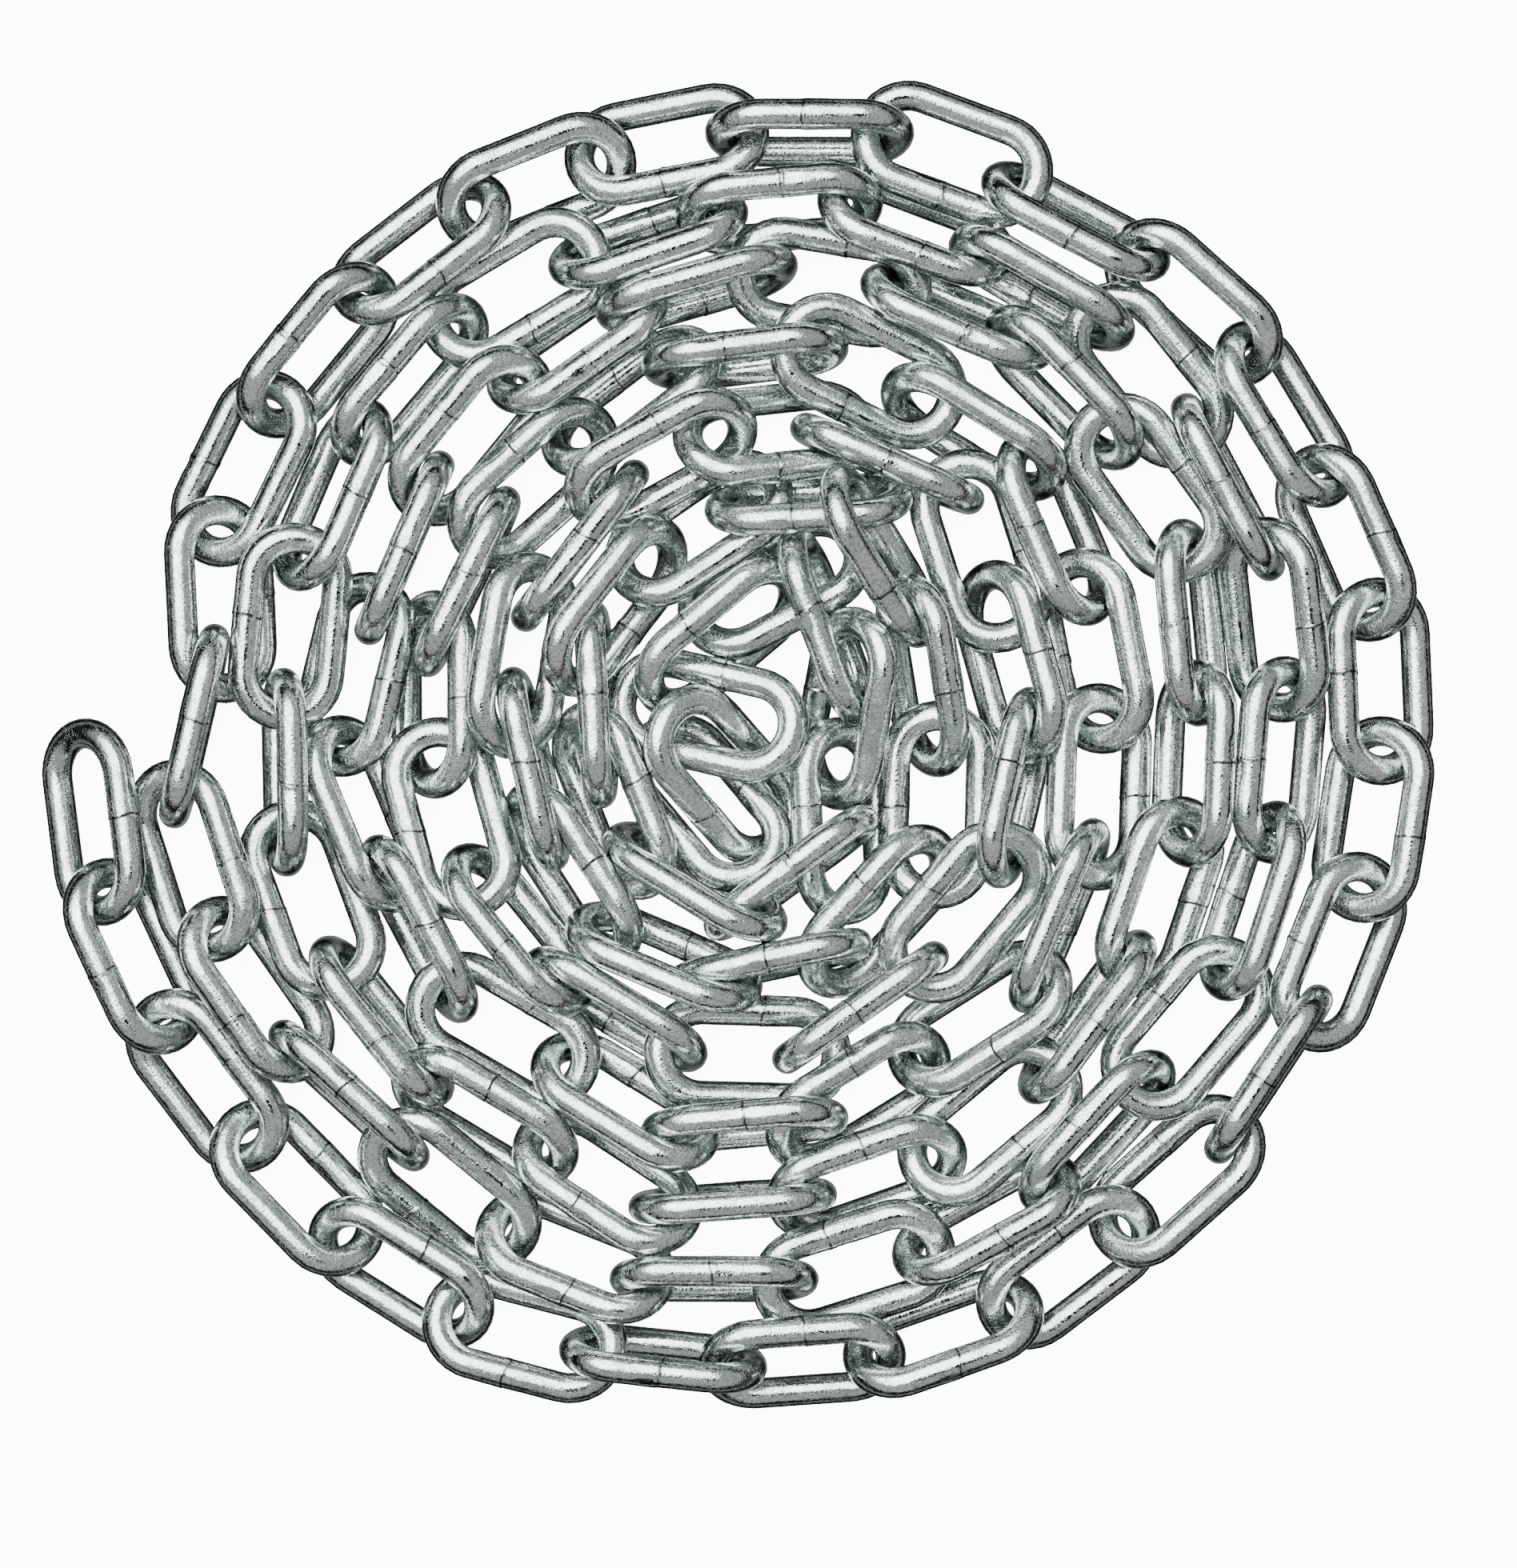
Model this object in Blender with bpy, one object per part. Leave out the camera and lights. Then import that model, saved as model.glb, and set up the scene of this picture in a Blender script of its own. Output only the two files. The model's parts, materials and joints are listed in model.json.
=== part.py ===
"""A heap of zinc-plated steel chain: one length of welded chain laid down as a flat coil.

The chain starts at a loose end link at the left of the coil, runs counter-clockwise and inwards
for six and a half turns, and ends in a small tangle of links at the middle. All lengths are in
metres and +Z is up. The links are laid along a route, each with its own roll, and are then eased
apart until no two wires meet. Links that bear on each other are joined into runs of three, and
the runs keep a small gap where one hangs in the next.
"""

from math import cos, pi, radians, sin

import bmesh
import bpy
import numpy as np
from mathutils import Vector

MM = 0.001

# the chain, a 1/4 inch welded chain
WIRE = 6.7 * MM
INSIDE_LENGTH = 32.0 * MM
INSIDE_WIDTH = 12.0 * MM
LEG_OFFSET = (INSIDE_WIDTH + WIRE) / 2
CROWN_CENTRE = (INSIDE_LENGTH + WIRE) / 2 - LEG_OFFSET
LINKS_PER_RUN = 3

# the wire's faceted section and the facets of a crown
WIRE_SIDES = 6
CROWN_STEPS = 4
CROWN_SWELL = 1.04
FLAT_RADIUS = 0.93 * WIRE / 2
CORNER_RADIUS = FLAT_RADIUS / cos(pi / WIRE_SIDES)

# two points nearer than this in a joined run are made one
SAME_POINT = 0.003 * MM

# distances between the centre lines of two wires
CLEAR = WIRE + 0.7 * MM
JOINED = 2 * FLAT_RADIUS - 0.1 * MM

# the coil's radius in mm at bearings 45 degrees apart, one row for each turn
FIRST_BEARING = 180
BEARING_STEP = 45
COIL_RADII = (
    (139.5, 134, 134, 134, 140.5, 139.5, 134, 128.5),
    (120.5, 113, 116, 113.5, 118, 120.5, 118.5, 107.5),
    (100.5, 99, 99, 96.5, 99, 108.5, 105, 88.5),
    (84, 80, 82.5, 77.5, 77.5, 84, 86, 73),
    (66, 63, 65, 58.5, 60, 68.5, 69, 54.5),
    (48.5, 44, 48, 44, 43.5, 51, 52.5, 38),
    (32.5, 32, 30, 24.5),
)

# for each half turn the bearing of its first link, then how far each link is rolled about its
# long axis in degrees: above zero the leg at the coil's outer side is up
HALF_TURNS = (
    (184.5, (-44, 10, -44, 26, -75, -32, 58, -53, 47, -42, 42, -77, -45, 32)),
    (367, (-48, 45, -64, 60, -77, 20, 58, -57, 20, -52, 0, -66, 34, 49)),
    (552.5, (-75, 45, -75, -45, 55, -73, -20, 62, -64, 0, 58, -46)),
    (733.5, (41, -76, 43, 60, -70, 51, -65, 27, 73, -47, 18, -74)),
    (919, (35, 70, -68, 55, 72, -63, 35, -76, -39, 44)),
    (1096.5, (-79, 44, -88, -55, 40, 78, -70, 45, 74, -45)),
    (1268.5, (45, -77, 0, 57, -75, -41, 20, -74, -38)),
    (1456.5, (43, -76, 44, 0, 78, -47, 40, -76, -60)),
    (1633, (0, 70, -57, 0, -75, -57, -84)),
    (1819.5, (60, 20, -70, -60, 57, -74, 45)),
    (1984, (65, -70, 20, -80, -68)),
)
LAST_BEARING = 2146
ROUTE_HEIGHT = 10 * MM

# the chain's last links, placed one by one: x, y and height in mm, then heading, roll and pitch
TANGLE = (
    (42.0, -15.0, 10.0, 90, 36, 0),
    (39.7, 16.0, 13.0, 92, 57, 8),
    (30.5, 41.5, 18.4, 112, -80, 16),
    (15.5, 53.4, 12.7, 177, -77, 0),
    (-9.8, 47.3, 9.0, 211, -30, -8),
    (-26.2, 32.3, 14.5, 226, 45, 8),
    (-30.6, 9.5, 13.0, -88, 80, 0),
    (-28.7, -11.0, 12.0, -74, -49, 0),
    (-10.2, -29.8, 16.5, -27, 65, 18),
    (12.1, -25.9, 18.0, 37, -78, 10),
    (21.9, -13.5, 14.5, 90, -30, 0),
    (23.9, 9.7, 16.0, 74, 41, 6),
    (16.6, 27.5, 13.5, 111, -78, 0),
    (7.1, 37.5, 8.5, 216, -33, 0),
    (-5.4, 25.1, 12.5, -131, 44, 0),
    (-7.7, 8.4, 14.5, -10, 18, 8),
    (-4.0, -5.0, 15.5, -52, 32, -20),
    (-8.2, -10.9, 12.7, -55, 20, 18),
)

# links that lie on the floor with a facet of their lower leg flat on it, counted from the loose end
LEVEL_LINKS = (4, 10, 14, 23, 27)
LEVEL_ROLL = 30

# easing the links apart: rounds, then how far a link sinks in a round, the share of its way back
# to its place, and the share of its way back to its attitude in the coil and in the tangle
EASING = (
    (300, 0.10 * MM, 0.20, 0.05, 0.20),
    (300, 0.05 * MM, 0.15, 0.0, 0.08),
    (400, 0.0, 0.0, 0.0, 0.0),
)
LEAST_EASE = 0.3
GLIDE = 0.7
LONGEST_STEP = 0.5 * MM
REACH = 52 * MM
WATCHED = CLEAR + 3 * MM
GYRATION = 14 * MM
CROWDING = 1.5

STEEL = (0.62, 0.66, 0.66, 1.0)
STEEL_ROUGHNESS = 0.32


def clear_scene():
    for obj in list(bpy.data.objects):
        bpy.data.objects.remove(obj, do_unlink=True)


def unit(vectors):
    return vectors / np.linalg.norm(vectors, axis=-1, keepdims=True)


def link_path():
    """Corners of a link's centre line, in its own frame: X along the link, Y across it."""
    corners = []
    for end in (1, -1):
        for step in range(CROWN_STEPS + 1):
            angle = -pi / 2 + pi * step / CROWN_STEPS
            on_axis = step % (CROWN_STEPS // 2) == 0
            radius = LEG_OFFSET if on_axis else LEG_OFFSET * CROWN_SWELL
            corners.append((end * (CROWN_CENTRE + radius * cos(angle)), end * radius * sin(angle), 0.0))
    return np.array(corners)


PATH = link_path()


def coil_route(samples=6000):
    """Bearings along the coil and the points of its route, a smooth curve through COIL_RADII."""
    radii = [radius for turn in COIL_RADII for radius in turn]
    spans = len(radii) - 1
    bearings = np.linspace(FIRST_BEARING, FIRST_BEARING + BEARING_STEP * spans, samples)
    known = np.array(radii[:1] + radii + radii[-1:]) * MM
    at = (bearings - FIRST_BEARING) / BEARING_STEP
    span = np.minimum(at.astype(int), spans - 1)
    t = at - span
    before, start, end, after = (known[np.minimum(span + k, len(known) - 1)] for k in range(4))
    radius = start + 0.5 * t * (
        end - before
        + t * (2 * before - 5 * start + 4 * end - after)
        + t * t * (3 * start - before - 3 * end + after)
    )
    angle = np.radians(bearings)
    return bearings, np.stack([radius * np.cos(angle), radius * np.sin(angle)], 1)


def attitudes(heading, roll, pitch):
    """One 3x3 frame for each link: columns along it, across it and square to both."""
    h, r, p = (np.radians(np.asarray(value, float)) for value in (heading, roll, pitch))
    along = np.stack([np.cos(h) * np.cos(p), np.sin(h) * np.cos(p), np.sin(p)], 1)
    outward = np.stack([np.sin(h), -np.cos(h), np.zeros_like(h)], 1)
    upward = np.cross(outward, along)
    across = outward * np.cos(r)[:, None] + upward * np.sin(r)[:, None]
    return np.stack([along, across, np.cross(along, across)], 2)


def lay_links():
    """Centres and attitudes of all links, before they are eased apart."""
    bearings, points = coil_route()
    steps = np.linalg.norm(np.diff(points, axis=0), axis=1)
    arc = np.concatenate([[0.0], np.cumsum(steps)])
    rolls, first_links, first_arcs = [], [], []
    for bearing, row in HALF_TURNS:
        first_links.append(len(rolls))
        first_arcs.append(np.interp(bearing, bearings, arc))
        rolls += row
    first_links.append(len(rolls))
    first_arcs.append(np.interp(LAST_BEARING, bearings, arc))
    at = np.interp(np.arange(len(rolls)), first_links, first_arcs)

    def point(distance):
        return np.stack([np.interp(distance, arc, points[:, axis]) for axis in (0, 1)], 1)

    ahead = point(at + WIRE) - point(at - WIRE)
    heading = np.degrees(np.arctan2(ahead[:, 1], ahead[:, 0]))
    centres = np.column_stack([point(at), np.full(len(rolls), ROUTE_HEIGHT)])
    frames = attitudes(heading, rolls, np.zeros(len(rolls)))
    tangle = np.array(TANGLE, float)
    centres = np.vstack([centres, tangle[:, :3] * MM])
    frames = np.vstack([frames, attitudes(tangle[:, 3], tangle[:, 4], tangle[:, 5])])
    return centres, frames


def placed(centres, frames, local):
    """Points given in a link's own frame, placed for every link."""
    return centres[:, None, :] + np.einsum("nij,pj->npi", frames, local)


def nearest_points(start_a, run_a, start_b, run_b):
    """The nearest points of two straight stretches, for whole arrays of them."""
    between = start_a - start_b
    aa = np.sum(run_a * run_a, -1)
    bb = np.sum(run_b * run_b, -1)
    ab = np.sum(run_a * run_b, -1)
    along_a = np.sum(run_a * between, -1)
    along_b = np.sum(run_b * between, -1)
    square = np.maximum(aa * bb - ab * ab, 1e-18)
    s = np.clip((ab * along_b - along_a * bb) / square, 0, 1)
    free_t = (ab * s + along_b) / bb
    t = np.clip(free_t, 0, 1)
    s = np.where(t != free_t, np.clip((ab * t - along_a) / aa, 0, 1), s)
    return start_a + s[..., None] * run_a, start_b + t[..., None] * run_b


def close_links(centres, frames):
    """Pairs of links near enough to meet, neighbours in the chain always among them."""
    first, second = np.triu_indices(len(centres), 1)
    apart = np.sum((centres[first] - centres[second]) ** 2, 1)
    near = apart < REACH * REACH
    first, second = first[near], second[near]
    gaps = [distance for _, _, distance in contacts(centres, frames, first, second)]
    keep = (np.minimum(*gaps) < WATCHED) | (second == first + 1)
    return first[keep], second[keep]


def contacts(centres, frames, first, second):
    """Nearest points of each pair of links, once for each half of the first link's path."""
    corners = placed(centres, frames, PATH)
    runs = np.roll(corners, -1, axis=1) - corners
    on_a, on_b = nearest_points(
        corners[first][:, :, None, :], runs[first][:, :, None, :],
        corners[second][:, None, :, :], runs[second][:, None, :, :],
    )
    distance = np.linalg.norm(on_a - on_b, axis=-1)
    half = len(PATH) // 2
    pair = np.arange(len(first))
    found = []
    for part in (slice(0, half), slice(half, 2 * half)):
        flat = distance[:, part].reshape(len(first), -1)
        best = np.argmin(flat, 1)
        a = on_a[:, part].reshape(len(first), -1, 3)[pair, best]
        b = on_b[:, part].reshape(len(first), -1, 3)[pair, best]
        found.append((a, b, flat[pair, best]))
    return found


def joined_to_next(link):
    """True where a link, counted from 0, is in one run with the next: the end link is on its own."""
    return (link > 0) & ((link - 1) % LINKS_PER_RUN != LINKS_PER_RUN - 1)


def turned(frames, spin):
    """Frames turned by small rotation vectors and squared up again."""
    frames = frames + np.cross(spin[:, None, :], frames.transpose(0, 2, 1)).transpose(0, 2, 1)
    along = unit(frames[:, :, 0])
    across = frames[:, :, 1]
    across = unit(across - along * np.sum(across * along, 1, keepdims=True))
    return np.stack([along, across, np.cross(along, across)], 2)


def levelled(centres, frames, links):
    """Rests the given links on a facet of their lower leg."""
    heading = np.degrees(np.arctan2(frames[links, 1, 0], frames[links, 0, 0]))
    roll = np.sign(frames[links, 2, 1]) * LEVEL_ROLL
    frames[links] = attitudes(heading, roll, np.zeros(len(links)))
    centres[links, 2] = LEG_OFFSET * sin(radians(LEVEL_ROLL)) + FLAT_RADIUS


def ease_apart(centres, frames):
    """Moves and turns the links a little at a time until their wires are clear of each other.

    Each pair that is too near is pushed apart at its nearest points, neighbours in the chain are
    kept bearing on each other, and nothing goes below the floor.
    """
    laid_centres, laid_frames = centres.copy(), frames.copy()
    count = len(centres)
    links = np.array(LEVEL_LINKS) - 1
    in_tangle = np.arange(count) >= count - len(TANGLE)
    upward = np.array([0.0, 0.0, 1.0])
    for rounds, sink, pull, *holds in EASING:
        hold = np.where(in_tangle, holds[1], holds[0])[:, None]
        drift = np.zeros((count, 3))
        swing = np.zeros((count, 3))
        for number in range(rounds):
            if number % 10 == 0:
                first, second = close_links(centres, frames)
                neighbours = second == first + 1
                wanted = np.where(neighbours & joined_to_next(first), JOINED, CLEAR)
            ease = max(1 - number / rounds, LEAST_EASE)
            move = np.zeros((count, 3))
            spin = np.zeros((count, 3))
            pushes = np.zeros(count)
            found = contacts(centres, frames, first, second)
            nearest = np.minimum(found[0][2], found[1][2])
            for on_a, on_b, distance in found:
                wrong = distance - wanted
                acts = (wrong < 0) | (neighbours & (distance <= nearest))
                a, b = first[acts], second[acts]
                away = (on_a - on_b)[acts] / np.maximum(distance[acts], 1e-9)[:, None]
                twist_a = np.cross(on_a[acts] - centres[a], away)
                twist_b = np.cross(on_b[acts] - centres[b], away)
                give = 2 + (np.sum(twist_a**2, 1) + np.sum(twist_b**2, 1)) / GYRATION**2
                push = np.clip(-wrong[acts] / give, -LONGEST_STEP, LONGEST_STEP)[:, None]
                for link, side, twist in ((a, push, twist_a), (b, -push, twist_b)):
                    np.add.at(move, link, side * away)
                    np.add.at(spin, link, side * twist / GYRATION**2)
                    np.add.at(pushes, link, 1)
            corners = placed(centres, frames, PATH)
            under = CORNER_RADIUS - corners[:, :, 2]
            link, corner = np.nonzero(under > 0)
            twist = np.cross(corners[link, corner] - centres[link], upward)
            lift = (under[link, corner] / (1 + np.sum(twist**2, 1) / GYRATION**2))[:, None]
            np.add.at(move, link, lift * upward)
            np.add.at(spin, link, lift * twist / GYRATION**2)
            np.add.at(pushes, link, 1)

            share = (CROWDING / np.maximum(pushes, CROWDING))[:, None]
            drift = move * share + GLIDE * drift
            swing = spin * share + GLIDE * swing
            centres = centres + drift
            centres[:, :2] += pull * ease * (laid_centres - centres)[:, :2]
            centres[:, 2] -= sink * ease
            back = np.cross(frames.transpose(0, 2, 1), laid_frames.transpose(0, 2, 1)).sum(1)
            frames = turned(frames, swing + 0.5 * hold * ease * back)
            levelled(centres, frames, links)
    return centres, frames


def link_skin():
    """Points and faces of one link in its own frame, the wire's section swept round its path."""
    count = len(PATH)
    ahead = unit(np.roll(PATH, -1, axis=0) - PATH)
    behind = unit(PATH - np.roll(PATH, 1, axis=0))
    points = []
    for corner, before, after in zip(PATH, behind, ahead):
        mitre = unit(before + after)
        outward = np.array([mitre[1], -mitre[0], 0.0])
        stretch = 1 / np.dot(mitre, after)
        for side in range(WIRE_SIDES):
            angle = 2 * pi * (side + 0.5) / WIRE_SIDES
            offset = outward * cos(angle) * stretch + np.array([0.0, 0.0, sin(angle)])
            points.append(corner + CORNER_RADIUS * offset)
    faces = []
    for ring in range(count):
        following = (ring + 1) % count
        for side in range(WIRE_SIDES):
            beside = (side + 1) % WIRE_SIDES
            faces.append((
                ring * WIRE_SIDES + side,
                ring * WIRE_SIDES + beside,
                following * WIRE_SIDES + beside,
                following * WIRE_SIDES + side,
            ))
    return np.array(points), faces


def link_object(name, points, faces):
    mesh = bpy.data.meshes.new(name)
    mesh.from_pydata([Vector(point) for point in points], [], faces)
    shape = bmesh.new()
    shape.from_mesh(mesh)
    bmesh.ops.recalc_face_normals(shape, faces=shape.faces)
    shape.to_mesh(mesh)
    shape.free()
    obj = bpy.data.objects.new(name, mesh)
    bpy.context.scene.collection.objects.link(obj)
    return obj


def zinc_material(name):
    material = bpy.data.materials.new(name)
    material.use_nodes = True
    shader = material.node_tree.nodes["Principled BSDF"]
    shader.inputs["Base Color"].default_value = STEEL
    shader.inputs["Metallic"].default_value = 1.0
    shader.inputs["Roughness"].default_value = STEEL_ROUGHNESS
    return material


def join_to(run, other):
    union = run.modifiers.new(other.name, "BOOLEAN")
    union.operation = "UNION"
    union.solver = "EXACT"
    union.object = other


def keep_outer_shell(run):
    """Makes the joined links one mesh, without the pockets that facets seal between two wires."""
    bpy.context.view_layer.update()
    shape = bmesh.new()
    shape.from_object(run, bpy.context.evaluated_depsgraph_get())
    outermost = max(shape.verts, key=lambda vert: vert.co.x)
    shell = {outermost}
    edge_of_search = [outermost]
    while edge_of_search:
        vert = edge_of_search.pop()
        for edge in vert.link_edges:
            other = edge.other_vert(vert)
            if other not in shell:
                shell.add(other)
                edge_of_search.append(other)
    pockets = [vert for vert in shape.verts if vert not in shell]
    bmesh.ops.delete(shape, geom=pockets, context="VERTS")
    bmesh.ops.remove_doubles(shape, verts=shape.verts, dist=SAME_POINT)
    run.modifiers.clear()
    shape.to_mesh(run.data)
    shape.free()


def build_runs(skins, faces):
    """One object for the loose end link, then one for each run of three."""
    starts = [0] + list(range(1, len(skins), LINKS_PER_RUN))
    for start, stop in zip(starts, starts[1:] + [len(skins)]):
        name = f"links_{start + 1:03d}_to_{stop:03d}" if start else "end_link_001"
        run = link_object(name, skins[start], faces)
        others = [link_object(f"link_{link + 1:03d}", skins[link], faces) for link in range(start + 1, stop)]
        for other in others:
            join_to(run, other)
        keep_outer_shell(run)
        run.data.materials.clear()
        run.data.materials.append(zinc_material(name))
        for other in others:
            bpy.data.objects.remove(other, do_unlink=True)


def main():
    clear_scene()
    centres, frames = ease_apart(*lay_links())
    local, faces = link_skin()
    skins = placed(centres, frames, local)
    skins[:, :, 2] -= np.minimum(skins[:, :, 2].min(1), 0)[:, None]
    middle = (skins.min((0, 1)) + skins.max((0, 1))) / 2
    skins[:, :, :2] -= middle[:2]
    build_runs(skins, faces)


main()
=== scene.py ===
# Zinc-plated welded steel chain laid down as a flat coil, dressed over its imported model.
# Lengths are in metres, +Z is up and +Y is the top of the picture.
import json
from math import cos, pi, radians, sin

import bpy
import numpy as np
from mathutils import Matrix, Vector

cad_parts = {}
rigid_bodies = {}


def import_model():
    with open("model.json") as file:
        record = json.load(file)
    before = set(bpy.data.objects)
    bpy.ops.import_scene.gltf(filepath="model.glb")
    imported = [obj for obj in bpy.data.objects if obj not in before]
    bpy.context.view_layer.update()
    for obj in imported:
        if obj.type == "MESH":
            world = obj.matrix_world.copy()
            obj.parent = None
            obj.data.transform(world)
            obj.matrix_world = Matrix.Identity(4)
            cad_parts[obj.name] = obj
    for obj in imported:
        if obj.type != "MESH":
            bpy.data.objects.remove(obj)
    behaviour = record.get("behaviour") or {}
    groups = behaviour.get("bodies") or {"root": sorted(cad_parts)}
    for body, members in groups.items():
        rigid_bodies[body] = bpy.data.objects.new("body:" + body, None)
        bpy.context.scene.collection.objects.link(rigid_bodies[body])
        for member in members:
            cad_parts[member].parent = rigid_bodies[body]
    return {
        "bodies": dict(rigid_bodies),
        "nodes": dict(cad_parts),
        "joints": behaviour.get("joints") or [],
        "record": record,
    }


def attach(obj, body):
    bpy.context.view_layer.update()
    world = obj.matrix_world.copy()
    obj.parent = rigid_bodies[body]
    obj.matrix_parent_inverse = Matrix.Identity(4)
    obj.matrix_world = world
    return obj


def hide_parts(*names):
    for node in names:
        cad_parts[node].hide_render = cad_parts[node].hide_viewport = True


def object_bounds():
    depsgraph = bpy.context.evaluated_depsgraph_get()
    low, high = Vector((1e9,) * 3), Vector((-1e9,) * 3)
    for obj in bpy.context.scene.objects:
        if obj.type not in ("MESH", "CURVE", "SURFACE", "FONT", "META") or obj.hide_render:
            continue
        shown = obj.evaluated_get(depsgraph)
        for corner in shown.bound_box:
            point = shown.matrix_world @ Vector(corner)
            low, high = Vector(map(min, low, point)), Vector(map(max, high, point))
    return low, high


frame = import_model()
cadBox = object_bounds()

mm = 0.001
scene = bpy.context.scene


# the chain's links
chain = {
    "wire": 6.7 * mm,
    "insideLength": 32.0 * mm,
    "insideWidth": 12.0 * mm,
    "linksPerRun": 3,
}
legOffset = (chain["insideWidth"] + chain["wire"]) / 2
crownCentre = (chain["insideLength"] + chain["wire"]) / 2 - legOffset

# the six-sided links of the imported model, whose places the round ones start from
facets = {
    "sides": 6,
    "crownSteps": 4,
    "crownSwell": 1.04,  # how far a crown's corners stand out, so that its chords follow the arc
    "flatRadius": 0.93 * chain["wire"] / 2,
    "clear": chain["wire"] + 0.7 * mm,
}
facets["cornerRadius"] = facets["flatRadius"] / cos(pi / facets["sides"])
facets["joined"] = 2 * facets["flatRadius"] - 0.1 * mm

# the coil's radius in mm at bearings 45 degrees apart, one row for each turn
coil = {
    "firstBearing": 180,
    "bearingStep": 45,
    "radii": (
        (139.5, 134, 134, 134, 140.5, 139.5, 134, 128.5),
        (120.5, 113, 116, 113.5, 118, 120.5, 118.5, 107.5),
        (100.5, 99, 99, 96.5, 99, 108.5, 105, 88.5),
        (84, 80, 82.5, 77.5, 77.5, 84, 86, 73),
        (66, 63, 65, 58.5, 60, 68.5, 69, 54.5),
        (48.5, 44, 48, 44, 43.5, 51, 52.5, 38),
        (32.5, 32, 30, 24.5),
    ),
    # for each half turn the bearing of its first link, then how far each link is rolled about
    # its long axis in degrees: above zero the leg at the coil's outer side is up
    "halfTurns": (
        (184.5, (-44, 10, -44, 26, -75, -32, 58, -53, 47, -42, 42, -77, -45, 32)),
        (367, (-48, 45, -64, 60, -77, 20, 58, -57, 20, -52, 0, -66, 34, 49)),
        (552.5, (-75, 45, -75, -45, 55, -73, -20, 62, -64, 0, 58, -46)),
        (733.5, (41, -76, 43, 60, -70, 51, -65, 27, 73, -47, 18, -74)),
        (919, (35, 70, -68, 55, 72, -63, 35, -76, -39, 44)),
        (1096.5, (-79, 44, -88, -55, 40, 78, -70, 45, 74, -45)),
        (1268.5, (45, -77, 0, 57, -75, -41, 20, -74, -38)),
        (1456.5, (43, -76, 44, 0, 78, -47, 40, -76, -60)),
        (1633, (0, 70, -57, 0, -75, -57, -84)),
        (1819.5, (60, 20, -70, -60, 57, -74, 45)),
        (1984, (65, -70, 20, -80, -68)),
    ),
    "lastBearing": 2146,
    "height": 10 * mm,
}

# the chain's last links, placed one by one: x, y and height in mm, then heading, roll and pitch
tangle = (
    (42.0, -15.0, 10.0, 90, 36, 0),
    (39.7, 16.0, 13.0, 92, 57, 8),
    (30.5, 41.5, 18.4, 112, -80, 16),
    (15.5, 53.4, 12.7, 177, -77, 0),
    (-9.8, 47.3, 9.0, 211, -30, -8),
    (-26.2, 32.3, 14.5, 226, 45, 8),
    (-30.6, 9.5, 13.0, -88, 80, 0),
    (-28.7, -11.0, 12.0, -74, -49, 0),
    (-10.2, -29.8, 16.5, -27, 65, 18),
    (12.1, -25.9, 18.0, 37, -78, 10),
    (21.9, -13.5, 14.5, 90, -30, 0),
    (23.9, 9.7, 16.0, 74, 41, 6),
    (16.6, 27.5, 13.5, 111, -78, 0),
    (7.1, 37.5, 8.5, 216, -33, 0),
    (-5.4, 25.1, 12.5, -131, 44, 0),
    (-7.7, 8.4, 14.5, -10, 18, 8),
    (-4.0, -5.0, 15.5, -52, 32, -20),
    (-8.2, -10.9, 12.7, -55, 20, 18),
)

# links that lie with their lower leg flat on the floor, counted from the loose end
levelLinks = {"numbers": (4, 10, 14, 23, 27), "roll": 30}

# easing the links apart: rounds, then how far a link sinks in a round, the share of its way back
# to its place, and the share of its way back to its attitude in the coil and in the tangle
easing = {
    "phases": (
        (300, 0.10 * mm, 0.20, 0.05, 0.20),
        (300, 0.05 * mm, 0.15, 0.0, 0.08),
        (400, 0.0, 0.0, 0.0, 0.0),
    ),
    "pairsKept": 10,  # rounds before the pairs of close links are found again
    "leastEase": 0.3,
    "glide": 0.7,
    "longestStep": 0.5 * mm,
    "reach": 52 * mm,
    "watched": facets["clear"] + 3 * mm,
    "gyration": 14 * mm,
    "crowding": 1.5,
}

# the last easing, for the round wire: the links come to bear on each other
bearing = {
    "phases": ((200, 0.03 * mm, 0.06, 0.0, 0.0), (200, 0.0, 0.0, 0.0, 0.0)),
    "gap": 0.02 * mm,
    "crownSteps": 8,
    "crownSwell": 1.01,
}


def unit(vectors):
    return vectors / np.linalg.norm(vectors, axis=-1, keepdims=True)


def linkPath(steps, swell):  # a link's centre line in its own frame: X along it, Y across it
    corners = []
    for end in (1, -1):
        for step in range(steps + 1):
            angle = -pi / 2 + pi * step / steps
            onAxis = step in (0, steps // 2, steps)
            radius = legOffset if onAxis else legOffset * swell
            corners.append((end * (crownCentre + radius * cos(angle)), end * radius * sin(angle), 0.0))
    return np.array(corners)


def coilRoute(samples=6000):  # bearings along the coil, and the points of its route
    radii = [radius for turn in coil["radii"] for radius in turn]
    spans = len(radii) - 1
    first, step = coil["firstBearing"], coil["bearingStep"]
    bearings = np.linspace(first, first + step * spans, samples)
    known = np.array(radii[:1] + radii + radii[-1:]) * mm
    at = (bearings - first) / step
    span = np.minimum(at.astype(int), spans - 1)
    t = at - span
    # a smooth curve through the known radii
    before, start, end, after = (known[np.minimum(span + k, len(known) - 1)] for k in range(4))
    radius = start + 0.5 * t * (
        end - before
        + t * (2 * before - 5 * start + 4 * end - after)
        + t * t * (3 * start - before - 3 * end + after)
    )
    angle = np.radians(bearings)
    return bearings, np.stack([radius * np.cos(angle), radius * np.sin(angle)], 1)


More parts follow.
